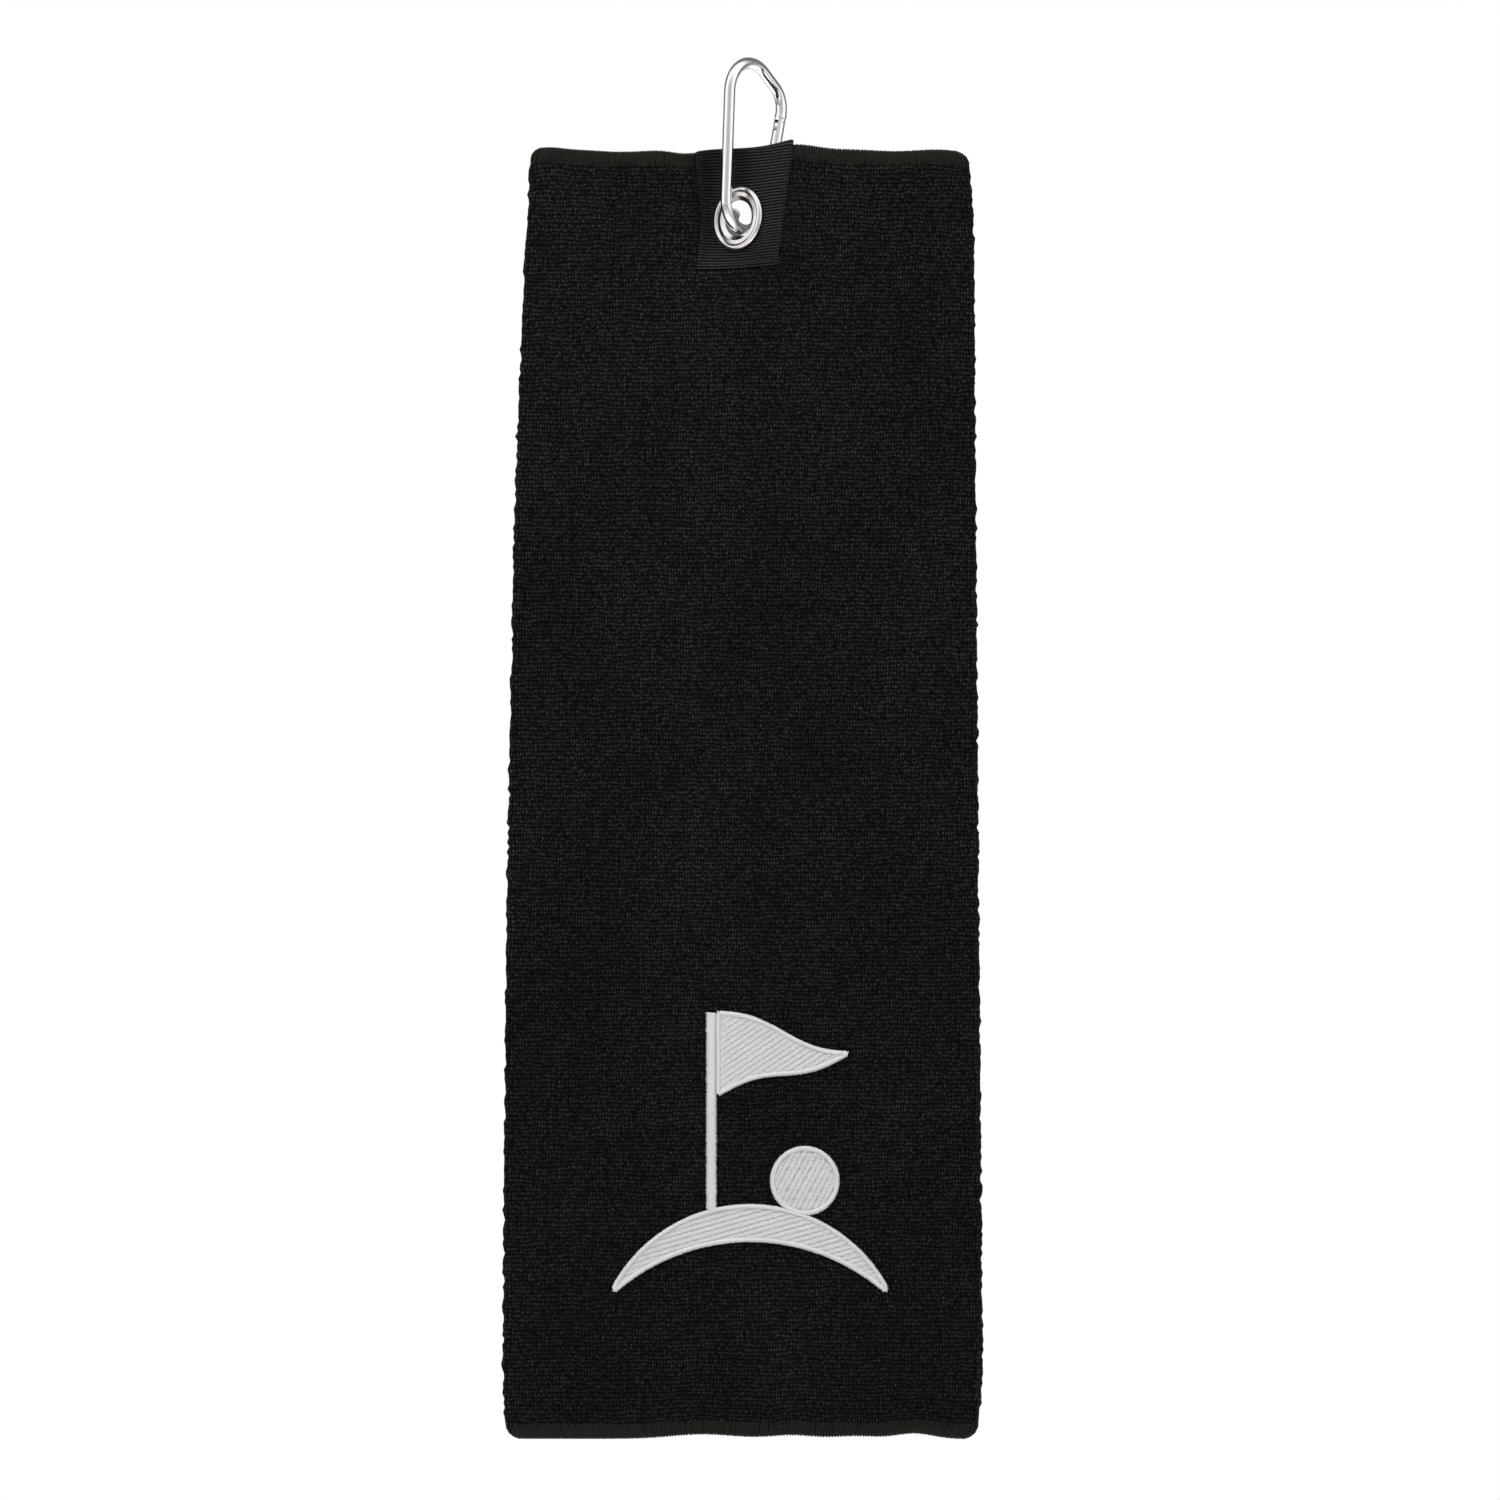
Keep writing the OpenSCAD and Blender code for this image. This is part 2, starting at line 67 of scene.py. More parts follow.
# ---- places and sizes of the towel, from the frame ----
TOP = box_mm("top_hem_overlock")[1][2]
BOTTOM = box_mm("bottom_hem_overlock")[0][2]
LENGTH = TOP - BOTTOM
TAPE_LOW, TAPE_HIGH = box_mm("eyelet_tape")
BACKING_LOW, BACKING_HIGH = box_mm("embroidery_backing")
# depth of the overlocked edges
HEM = 5.0
# thickness of one layer of terry, and the distance between the middles of two layers
LAYER_T = 1.5
PITCH = 1.75
# folded width before the sides are trimmed, and where its left edge is
WIDTH = 145.0
NOMINAL_LEFT = -70.0
# the outer flap stops this far short of the far fold
REVEAL = 17.0
# bend radius of the side folds as a share of the width
FOLD_INSET = 0.012
EYELET_X = 0.5 * (TAPE_LOW[0] + TAPE_HIGH[0])
EYELET_Z = TOP - 21.7
# the backing lies just behind the front panel, which fixes the middle of the stack
TOWEL_Y = BACKING_LOW[1] + PITCH - LAYER_T / 2 - 0.05

# ---- how the clip's pull twists the cloth round the eyelet ----
TURN = math.radians(43)
LEAN = math.radians(9)
# the way that the eyelet faces
FRONT = np.array([-math.sin(TURN) * math.cos(LEAN), -math.cos(TURN), math.sin(TURN) * math.sin(LEAN)])
# how far the twist reaches sideways, up and down
TWIST_W, TWIST_UP, TWIST_DOWN = 14.0, 21.0, 16.0
# how much the eyelet presses the layers together, and how far that reaches
SQUEEZE, SQUEEZE_W, SQUEEZE_H = 0.34, 19.0, 22.0
# holes under the eyelet's flange
TAPE_HOLE_R = 7.2
CLOTH_HOLE_R = 8.2
# distance between the ribs of the tape
RIB = 0.9


def fade(d, size):
    """1 near zero, falling softly to nothing past size."""
    return np.exp(-(np.abs(d) / size) ** 4)


def twist(dx, dz):
    """How far the cloth is pulled forwards or back, dx and dz from the eyelet's middle."""
    up = fade(dz, np.where(dz > 0, TWIST_UP, TWIST_DOWN))
    return -(FRONT[0] * dx + FRONT[2] * dz) / FRONT[1] * fade(dx, TWIST_W) * up


def steepness(dx, dz):
    """Depth through a layer that runs at a slant, as a share of its thickness."""
    step = 0.2
    slope_x = (twist(dx + step, dz) - twist(dx - step, dz)) / (2 * step)
    slope_z = (twist(dx, dz + step) - twist(dx, dz - step)) / (2 * step)
    return np.sqrt(1 + slope_x**2 + slope_z**2)


def pressed(dx, dz):
    """Thickness of the stack near the eyelet, as a share of its thickness elsewhere."""
    return 1 - SQUEEZE * fade(dx, SQUEEZE_W) * fade(dz, SQUEEZE_H)


def bumps(x, humps):
    """Sum of soft humps, each (middle, half width, height)."""
    return sum(h * np.exp(-(((x - m) / w) ** 2)) for m, w, h in humps)


def hang_wave(x, z):
    """Slow waves of the hanging cloth, none near the eyelet."""
    away = 1 - fade(z - EYELET_Z, 60.0) * fade(x - EYELET_X, 60.0)
    slow = 0.7 * np.sin(x / 19.0 + z / 75.0) + 0.5 * np.sin(x / 31.0 - z / 48.0 + 1.0)
    return away * slow


def edge_shift(x, z):
    """The top and bottom edges aren't quite straight; the tape lifts the top one."""
    top = bumps(x, [(-62, 5, 0.6), (-40, 11, -0.8), (-20, 6, -1.2),
                    (15, 8, 1.5), (45, 9, -0.6), (66, 5, -0.7)])
    low = bumps(x, [(-15, 13, 1.3), (13, 9, 1.0), (33, 9, 0.8), (51, 8, 1.7)])
    near_top = np.clip(1 - (TOP - z) / 45.0, 0, 1) ** 2
    near_low = np.clip(1 - (z - BOTTOM) / 30.0, 0, 1) ** 2
    return top * near_top + low * near_low


def corner(d, r):
    """How far a rounded corner of radius r draws in at distance d from the end."""
    d = np.clip(d, 0, r)
    return r - np.sqrt(np.maximum(r * r - (r - d) ** 2, 0))


def down(z):
    """0 at the top edge and 1 at the bottom edge."""
    return (TOP - z) / LENGTH


BOTTOM_CORNER_R = 4.5


def left_edge(z):
    trim = corner(TOP - z, 3.0) + corner(z - BOTTOM, BOTTOM_CORNER_R)
    trim = trim + 0.3 + 0.8 * np.exp(-down(z) / 0.3) + 1.0 * np.exp(-(((z - BOTTOM) / 9) ** 2))
    return -68.4 - 8.6 * (1 - np.exp(-down(z) / 0.38)) + trim


def right_edge(z):
    trim = corner(TOP - z, 4.2) + corner(z - BOTTOM, BOTTOM_CORNER_R)
    trim = trim + 0.3 + 1.3 * np.exp(-(((TOP - z) / 14) ** 2)) + 1.5 * np.exp(-(((z - BOTTOM) / 14) ** 2))
    return 68.9 + 3.0 * down(z) - trim


def on_stack(x, off, z):
    """A point at x and z, off millimetres behind the middle of the folded stack."""
    dx, dz = x - EYELET_X, z - EYELET_Z
    y = TOWEL_Y + twist(dx, dz) + off * pressed(dx, dz) * steepness(dx, dz) + hang_wave(x, z)
    return np.stack(np.broadcast_arrays(x, y, z + edge_shift(x, z)), -1)


# ---- the sheet's path across the towel, by flat distance t from the inner flap's free edge ----
INSET = FOLD_INSET * WIDTH
FLAP = WIDTH - 2 * INSET - REVEAL
PANEL = WIDTH - 2 * INSET
LEFT_FOLD = math.pi * math.sqrt((INSET**2 + (PITCH / 2) ** 2) / 2)
RIGHT_FOLD = math.pi * math.sqrt((INSET**2 + PITCH**2) / 2)
T_LEFT = FLAP
T_FRONT = T_LEFT + LEFT_FOLD
T_RIGHT = T_FRONT + PANEL
T_OUTER = T_RIGHT + RIGHT_FOLD
T_END = T_OUTER + FLAP
# where the inner flap passes behind the eyelet
NEAR_EYELET = WIDTH - INSET - REVEAL - (EYELET_X - NOMINAL_LEFT)


def profile(t):
    """Position across the towel, in nominal millimetres from its left edge, and offset."""
    t = np.asarray(t, float)
    a = np.pi * (t - T_LEFT) / LEFT_FOLD
    b = np.pi * (t - T_RIGHT) / RIGHT_FOLD
    zones = [t < T_LEFT, t < T_FRONT, t < T_RIGHT, t < T_OUTER]
    across = np.select(
        zones,
        [WIDTH - INSET - REVEAL - t, INSET - INSET * np.sin(a), INSET + t - T_FRONT,
         WIDTH - INSET + INSET * np.sin(b)],
        WIDTH - INSET - (t - T_OUTER),
    )
    off = np.select(
        zones,
        [0 * t, -PITCH / 2 + PITCH / 2 * np.cos(a), -PITCH + 0 * t, -PITCH * np.cos(b)],
        PITCH + 0 * t,
    )
    return across, off


def on_sheet(t, out, z):
    """A point on the folded sheet, out millimetres from its middle towards the towel's outside."""
    t, out, z = np.broadcast_arrays(t, out, z)
    t = t.astype(float)
    a0, o0 = profile(t - 0.05)
    a1, o1 = profile(t + 0.05)
    run = np.hypot(a1 - a0, o1 - o0) + 1e-9
    across, off = profile(t)
    across = across + out * (o1 - o0) / run
    off = off - out * (a1 - a0) / run
    x = left_edge(z) + across / WIDTH * (right_edge(z) - left_edge(z))
    return on_stack(x, off, z)


# ---- mesh helpers ----
def mesh_object(name, verts, faces, material, uv=None):
    """A smooth-shaded object from millimetres, with an optional flat map for its material."""
    mesh = bpy.data.meshes.new(name)
    mesh.from_pydata((np.asarray(verts) * MM).tolist(), [], [list(map(int, f)) for f in faces])
    mesh.validate()
    if uv is not None:
        layer = mesh.uv_layers.new(name="flat")
        index = np.empty(len(mesh.loops), dtype=np.int32)
        mesh.loops.foreach_get("vertex_index", index)
        layer.data.foreach_set("uv", np.asarray(uv, float)[index].ravel())
    mesh.polygons.foreach_set("use_smooth", [True] * len(mesh.polygons))
    mesh.materials.append(material)
    obj = bpy.data.objects.new(name, mesh)
    bpy.context.scene.collection.objects.link(obj)
    return obj


def tube_faces(rows, ring):
    """Quads between rows of ring points each, closed round the ring."""
    r = np.arange(rows - 1)[:, None] * ring
    k = np.arange(ring)[None, :]
    n = (k + 1) % ring
    return np.stack([r + k, r + n, r + ring + n, r + ring + k], -1).reshape(-1, 4)


def strands(points, normals, width, height):
    """Flattened tubes, one for each row of points, lying on a surface with these normals."""
    count, steps, _ = points.shape
    tangent = np.gradient(points, axis=1)
    tangent /= np.linalg.norm(tangent, axis=-1, keepdims=True) + 1e-9
    side = np.cross(tangent, normals)
    side /= np.linalg.norm(side, axis=-1, keepdims=True) + 1e-9
    lift = np.cross(side, tangent)
    sides = 6
    angle = np.arange(sides) / sides * 2 * np.pi
    end = np.ones(steps)
    end[0] = end[-1] = 0.55
    ring = (
        side[:, :, None, :] * (np.cos(angle)[None, None, :, None] * width / 2)
        + lift[:, :, None, :] * (np.sin(angle)[None, None, :, None] * height / 2)
    ) * end[None, :, None, None]
    verts = (points[:, :, None, :] + ring).reshape(-1, 3)
    one = tube_faces(steps, sides)
    base = (np.arange(count) * steps * sides)[:, None, None]
    faces = (one[None] + base).reshape(-1, 4).tolist()
    first = list(range(sides - 1, -1, -1))
    last = list(range((steps - 1) * sides, steps * sides))
    for start in range(0, count * steps * sides, steps * sides):
        faces.append([start + k for k in first])
        faces.append([start + k for k in last])
    return verts, faces


def joined(parts):
    """One list of vertices and faces from several."""
    verts, faces, base = [], [], 0
    for v, f in parts:
        verts.append(v)
        faces.extend([[base + int(k) for k in face] for face in f])
        base += len(v)
    return np.concatenate(verts), faces


def hole_cells(points, radius):
    """Cells of a grid of points whose middles lie within this distance of the eyelet's axis."""
    side = np.cross(FRONT, [0, 0, 1.0])
    side /= np.linalg.norm(side)
    middle = (points[1:, 1:] + points[:-1, 1:] + points[1:, :-1] + points[:-1, :-1]) / 4
    away = middle - np.array([EYELET_X, TOWEL_Y, EYELET_Z])
    along = away @ FRONT
    return np.linalg.norm(away - along[..., None] * FRONT, axis=-1) < radius


def slab(outer, inner, holes=None):
    """Closed skin between two grids of points of the same shape, with some cells left out."""
    rows, cols = outer.shape[:2]
    index = np.arange(rows * cols).reshape(rows, cols)
    back = rows * cols
    kept = np.zeros((rows + 1, cols + 1), bool)
    kept[1:-1, 1:-1] = True if holes is None else ~holes
    r, c = np.nonzero(kept[1:-1, 1:-1])
    quad = np.stack([index[r, c], index[r, c + 1], index[r + 1, c + 1], index[r + 1, c]], -1)
    faces = [quad, quad[:, ::-1] + back]
    for dr, dc, first, second in ((-1, 0, (0, 1), (0, 0)), (1, 0, (1, 0), (1, 1)),
                                  (0, -1, (0, 0), (1, 0)), (0, 1, (1, 1), (0, 1))):
        rim = ~kept[r + 1 + dr, c + 1 + dc]
        a = index[r[rim] + first[0], c[rim] + first[1]]
        b = index[r[rim] + second[0], c[rim] + second[1]]
        faces.append(np.stack([a, b, b + back, a + back], -1))
    return np.concatenate([outer.reshape(-1, 3), inner.reshape(-1, 3)]), np.concatenate(faces).tolist()


# ---- materials ----
class Shader:
    """A small builder for a Principled material."""

    def __init__(self, name, **sockets):
        self.material = bpy.data.materials.new(name)
        self.material.use_nodes = True
        self.nodes = self.material.node_tree.nodes
        self.links = self.material.node_tree.links
        self.main = self.nodes["Principled BSDF"]
        for socket, value in sockets.items():
            self.main.inputs[socket.replace("_", " ")].default_value = value

    def node(self, kind, **values):
        made = self.nodes.new("ShaderNode" + kind)
        for key, value in values.items():
            if isinstance(value, bpy.types.NodeSocket):
                self.links.new(value, made.inputs[key.replace("_", " ")])
            elif key in made.inputs or key.replace("_", " ") in made.inputs:
                made.inputs[key.replace("_", " ")].default_value = value
            else:
                setattr(made, key, value)
        return made

    def math(self, operation, a, b=0.0, c=0.0):
        made = self.nodes.new("ShaderNodeMath")
        made.operation = operation
        for k, value in enumerate((a, b, c)):
            if isinstance(value, bpy.types.NodeSocket):
                self.links.new(value, made.inputs[k])
            else:
                made.inputs[k].default_value = value
        return made.outputs[0]

    def place(self, scale, uv=False):
        """Coordinates in units of 1/scale millimetres, in space or along the flat map."""
        if uv:
            source = self.node("UVMap", uv_map="flat").outputs[0]
        else:
            source = self.node("TexCoord").outputs["Object"]
            scale = tuple(s / MM for s in scale)
        return self.node("Mapping", Vector=source, Scale=scale).outputs[0]

    def ramp(self, factor, stops):
        made = self.node("ValToRGB", Fac=factor)
        made.color_ramp.elements[0].position = stops[0][0]
        made.color_ramp.elements[0].color = (*stops[0][1], 1)
        made.color_ramp.elements[1].position = stops[-1][0]
        made.color_ramp.elements[1].color = (*stops[-1][1], 1)
        for position, colour in stops[1:-1]:
            made.color_ramp.elements.new(position).color = (*colour, 1)
        return made.outputs[0]

    def to(self, socket, output):
        self.links.new(output, self.main.inputs[socket.replace("_", " ")])

    def bump(self, height, distance, strength=1.0):
        made = self.node("Bump", Height=height, Distance=distance * MM, Strength=strength)
        self.to("Normal", made.outputs[0])


def terry_material():
    """Short loops in columns and rows, each with its own random tone; the colour is painted dark in the gaps
    between loops as shade and light on their tops as highlight.
    """
    s = Shader("terry_pile", Roughness=0.9, Specular_IOR_Level=0.06, Sheen_Weight=0.02, Sheen_Roughness=0.5)
    cells = s.place((1 / 0.86, 1 / 1.3, 1), uv=True)
    wander = s.node("TexNoise", Vector=s.place((0.11, 0.11, 1), uv=True), Scale=1.0, Detail=2.0)
    moved = s.node("VectorMath", operation="MULTIPLY_ADD")
    s.links.new(wander.outputs["Color"], moved.inputs[0])
    moved.inputs[1].default_value = (1.6, 1.6, 0)
    s.links.new(cells, moved.inputs[2])
    loop = s.node("TexVoronoi", Vector=moved.outputs[0], Scale=1.0, Randomness=0.34)
    own = s.node("SeparateColor", Color=loop.outputs["Color"])
    fine = s.node("TexNoise", Vector=s.place((2.4, 1.2, 1), uv=True), Scale=1.0, Detail=2.0)
    height = s.math("MULTIPLY_ADD", loop.outputs["Distance"], -1.5, 1.0)
    height = s.math("MULTIPLY_ADD", fine.outputs["Fac"], 0.3, height)
    cloud = s.node("TexNoise", Vector=s.place((0.03, 0.015, 1), uv=True), Scale=1.0, Detail=4.0)
    # the colour follows the loop height: painted shade in the gaps between loops and painted highlight on
    # their tops, with random tone for each loop and in soft clouds
    painted_light_and_tone = s.math("MULTIPLY_ADD", own.outputs[0], 0.16, height)
    painted_light_and_tone = s.math("MULTIPLY_ADD", cloud.outputs["Fac"], 0.2, painted_light_and_tone)
    s.to("Base Color", s.ramp(s.math("MULTIPLY", painted_light_and_tone, 0.7), [
        (0.32, (0.0005, 0.0005, 0.0005)), (0.48, (0.0034, 0.0034, 0.0033)),
        (0.7, (0.0128, 0.0128, 0.0125)), (0.92, (0.046, 0.046, 0.0453))]))
    s.bump(height, 0.6)
    return s.material


def thread_material(name, dark, light, sheen):
    """Dark thread with fine fibres."""
    s = Shader(name, Roughness=0.6, Specular_IOR_Level=0.15, Sheen_Weight=sheen, Sheen_Roughness=0.4)
    fibre = s.node("TexNoise", Vector=s.place((4.0, 4.0, 4.0)), Scale=1.0, Detail=3.0)
    s.to("Base Color", s.ramp(fibre.outputs["Fac"], [(0.3, dark), (0.7, light)]))
    s.bump(fibre.outputs["Fac"], 0.08)
    return s.material


def tape_material():
    """Black grosgrain: painted highlights along the rib crests and painted shade between them, and a fine
    weave across.
    """
    s = Shader("ribbed_tape", Roughness=0.75, Specular_IOR_Level=0.08, Sheen_Weight=0.02, Sheen_Roughness=0.5)
    warp = s.node("TexWave", Vector=s.place((math.pi / (10 * 0.55), 0, 0), uv=True), Scale=1.0,
                  bands_direction="X")
    fine = s.node("TexNoise", Vector=s.place((1.2, 2.6, 1), uv=True), Scale=1.0, Detail=3.0)
    ribs = s.node("TexWave", Vector=s.place((0, math.pi / (10 * RIB), 0), uv=True), Scale=1.0,
                  bands_direction="Y", Phase_Offset=math.pi)
    height = s.math("MULTIPLY_ADD", warp.outputs["Fac"], 0.25, fine.outputs["Fac"])
    # rib crests painted light as highlight and the hollows between them painted dark as shade, with the
    # weave's random tone added
    painted_rib_light_and_weave = s.math("MULTIPLY_ADD", ribs.outputs["Fac"], 0.9, height)
    s.to("Base Color", s.ramp(s.math("MULTIPLY", painted_rib_light_and_weave, 0.55), [
        (0.35, (0.0005, 0.0005, 0.0005)), (0.62, (0.0045, 0.0044, 0.0041)), (0.9, (0.032, 0.031, 0.029))]))
    s.bump(height, 0.12)
    return s.material


def embroidery_material():
    """White thread with a soft gloss."""
    s = Shader("embroidery_thread", Roughness=0.42, Sheen_Weight=0.25, Sheen_Roughness=0.35)
    fibre = s.node("TexNoise", Vector=s.place((3.0, 3.0, 3.0)), Scale=1.0, Detail=4.0)
    s.to("Base Color", s.ramp(fibre.outputs["Fac"], [
        (0.25, (0.44, 0.44, 0.435)), (0.6, (0.6, 0.6, 0.59))]))
    s.bump(fibre.outputs["Fac"], 0.06)
    return s.material


def metal_material(name, colour, rough, streak, grime=0.0):
    """Polished metal with fine drawn streaks and faint wear."""
    s = Shader(name, Metallic=1.0)
    fine = s.node("TexNoise", Vector=s.place(streak), Scale=1.0, Detail=5.0)
    wear = s.node("TexNoise", Vector=s.place((0.25, 0.25, 0.25)), Scale=1.0, Detail=4.0)
    mixed = s.math("MULTIPLY_ADD", wear.outputs["Fac"], 0.6, fine.outputs["Fac"])
    low = tuple(c * (1 - grime) for c in colour)
    s.to("Base Color", s.ramp(mixed, [(0.45, low), (0.85, colour)]))
    s.to("Roughness", s.math("MULTIPLY_ADD", mixed, rough, rough * 0.5))
    s.bump(fine.outputs["Fac"], 0.003, 0.4)
    return s.material


def backing_material():
    """Pale non-woven felt."""
    s = Shader("cut_away_backing", Roughness=0.9)
    felt = s.node("TexNoise", Vector=s.place((0.8, 0.8, 0.8)), Scale=1.0, Detail=6.0)
    s.to("Base Color", s.ramp(felt.outputs["Fac"], [
        (0.3, (0.6, 0.6, 0.58)), (0.7, (0.8, 0.8, 0.78))]))
    s.bump(felt.outputs["Fac"], 0.1)
    return s.material


TERRY = terry_material()
OVERLOCK = thread_material("overlock_thread", (0.0012, 0.0012, 0.0008), (0.0102, 0.0105, 0.007), 0.04)
SEAM = thread_material("sewing_thread", (0.003, 0.003, 0.003), (0.0135, 0.0135, 0.0128), 0.05)
TAPE = tape_material()
WHITE = embroidery_material()
NICKEL = metal_material("eyelet_nickel", (0.82, 0.79, 0.77), 0.14, (0.5, 0.5, 0.5), 0.12)
WIRE = metal_material("clip_wire", (0.9, 0.905, 0.9), 0.09, (2.0, 2.0, 0.1), 0.08)
STEEL = metal_material("rivet_steel", (0.6, 0.6, 0.61), 0.3, (2.0, 2.0, 2.0), 0.2)
SPRING = metal_material("spring_steel", (0.55, 0.55, 0.57), 0.3, (2.0, 2.0, 2.0), 0.2)
BRASS = metal_material("plunger_brass", (0.72, 0.55, 0.28), 0.3, (2.0, 2.0, 2.0), 0.2)
BACKING = backing_material()


def declared(obj, node):
    """The piece rides with the towel and stands for its CAD solid."""
    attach(obj, "towel")
    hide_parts(node)
    return obj


# ---- the terry sheet ----
# the flat map of the sheet's inner face starts here, clear of the outer face's
INSIDE_MAP = 600.0


def spaced(start, end, step):
    """Even places from start up to end, which is left out, about step apart."""
    return np.linspace(start, end, max(2, round((end - start) / step)) + 1)[:-1]


def towel_cloth():
    """Both faces of the folded sheet, finer at the folds and round the eyelet."""
    t = np.concatenate([
        spaced(0, NEAR_EYELET - 13, 8.0), spaced(NEAR_EYELET - 13, NEAR_EYELET + 13, 2.0),
        spaced(NEAR_EYELET + 13, T_LEFT - 4, 8.0), spaced(T_LEFT - 4, T_LEFT, 2.0),
        spaced(T_LEFT, T_FRONT, 0.7), spaced(T_FRONT, T_RIGHT, 1.4),
        spaced(T_RIGHT, T_OUTER, 0.8), spaced(T_OUTER, T_END, 2.8), [T_END],
    ])
    z = np.concatenate([[TOP - 0.3], spaced(TOP - 0.7, TOP - HEM, -1.4),
                        spaced(TOP - HEM, BOTTOM + HEM, -1.5),
                        spaced(BOTTOM + HEM, BOTTOM + 0.7, -1.4), [BOTTOM + 0.7, BOTTOM + 0.3]])
    edge = np.minimum(TOP - z, z - BOTTOM)
    half = np.where(edge < HEM, 0.45, LAYER_T / 2) * np.where(edge < 0.5, 0.6, 1.0)
    body = np.clip((edge - HEM) / 2, 0, 1)[:, None]
    rows, cols = len(z), len(t)
    left_fold = np.exp(-((t - T_LEFT - LEFT_FOLD / 2) / 3) ** 2)
    fold = left_fold + np.exp(-((t - T_RIGHT - RIGHT_FOLD / 2) / 3) ** 2)
    loops = rng.normal(size=(rows, cols)) * (0.09 + 0.17 * fold)[None, :] * body
    outside = on_sheet(t[None, :], half[:, None] + loops, z[:, None])
    inside = on_sheet(t[None, :], -half[:, None] + 0 * loops, z[:, None])
    verts, faces = slab(outside, inside, hole_cells(outside, CLOTH_HOLE_R))
    flat = np.stack(np.broadcast_arrays(t[None, :], z[:, None]), -1).reshape(-1, 2)
    uv = np.concatenate([flat, flat + np.array([INSIDE_MAP, 0])])
    obj = mesh_object("towel_terry", verts, faces, TERRY, uv=uv)
    return declared(obj, "towel_cloth")


# ---- overlocked edges ----
def wrap(where, reach, thickness, lean):
    """Stitch paths over an edge: (along, out, inwards) for each stitch and step."""
    inwards = np.array([HEM, 3.4, 1.7, 0.6, 0.15, 0.6, 1.7, 3.4, HEM])
    out = np.array([0.98, 1.0, 1.0, 0.85, 0.0, -0.85, -1.0, -1.0, -0.98]) * thickness
    slide = np.linspace(-lean, lean, len(inwards))
    inwards = inwards[None, :] + reach[:, None] * (inwards / HEM)[None, :] ** 2
    return where[:, None] + slide[None, :], out[None, :] + 0 * where[:, None], inwards


def surface_normals(points, toward):
    """Directions away from the sheet at the stitch points, from points a little further out."""
    n = toward - points
    return n / (np.linalg.norm(n, axis=-1, keepdims=True) + 1e-9)


def overlock(name, node, at_top):
    """Thread wrapped over the top or bottom edge, with a needle line along its inner side."""
    stitch = 0.92
    where = np.arange(0.6, T_END - 0.6, stitch)
    where = where + rng.normal(size=len(where)) * 0.06
    reach = rng.normal(size=len(where)) * 0.45
    along, out, inwards = wrap(where, reach, 0.62, 0.3)
    z = TOP - inwards if at_top else BOTTOM + inwards
    at_edge = np.abs(out) < 0.3
    path = on_sheet(along, out, z)
    beyond = on_sheet(along, out * 1.5, z + (0.3 if at_top else -0.3) * at_edge)
    obj = mesh_object(name, *strands(path, surface_normals(path, beyond), 0.78, 0.42), OVERLOCK)
    return declared(obj, node)


def flap_overlock(name, node, at_end):
    """Thread wrapped over a flap's free edge."""
    where = np.arange(BOTTOM + HEM + 0.5, TOP - HEM - 0.5, 1.25)
    along, out, inwards = wrap(where, 0 * where, 0.8, 0.35)
    t = T_END - inwards if at_end else inwards
    at_edge = np.abs(out) < 0.3
    path = on_sheet(t, out, along)
    beyond = on_sheet(t, out * 1.5, along)
    beyond = beyond + np.array([-0.3 if at_end else 0.3, 0, 0]) * at_edge[..., None]
    obj = mesh_object(name, *strands(path, surface_normals(path, beyond), 0.9, 0.5), OVERLOCK)
    return declared(obj, node)


# ---- tape tab ----
TAPE_W = TAPE_HIGH[0] - TAPE_LOW[0]
# length of each leg
TAPE_L = 38.0
TAPE_T = 0.6
# from the middle of the folded towel to the tape's inner face
STACK = PITCH + LAYER_T / 2 + 0.1
TAPE_INSIDE_MAP = 100.0


def tape_point(x, run, out):
    """run is from -TAPE_L at the front's lower end, over the top edge at 0, to TAPE_L behind."""
    across = (x - TAPE_LOW[0]) / TAPE_W
    over = STACK + TAPE_T / 2
    bend = over * math.pi / 4
    a = np.clip(run / bend, -1, 1) * math.pi / 2
    depth = np.maximum(np.abs(run) - bend, 0)
    # the clip drags the tape's sides in and its ribs down round the eyelet
    drop = depth / TAPE_L
    left = TAPE_LOW[0] - 0.3 + 1.7 * np.exp(-(((depth - 20) / 13) ** 2))
    right = TAPE_HIGH[0] + 0.2 - np.where(run < 0, 5.2, 2.0) * drop
    sag = 1.3 * np.exp(-(((x - EYELET_X) / 12) ** 2)) * np.exp(-(((depth - 23) / 11) ** 2))
    sag = sag + 1.2 * drop**3 * (1 - across)
    bulge = 0.9 * np.exp(-(((across - 0.88) / 0.14) ** 2)) * np.exp(-(((depth - 20) / 16) ** 2))
    bulge = bulge + 0.35 * np.exp(-(((across - 0.12) / 0.07) ** 2)) * np.exp(-(((depth - 18) / 16) ** 2))
    lift = 0.4 + 1.4 * across**3
    z = TOP - 0.3 + (lift + out) * np.cos(a) - depth - sag
    return on_stack(left + across * (right - left), (over + out + bulge) * np.sin(a), z)


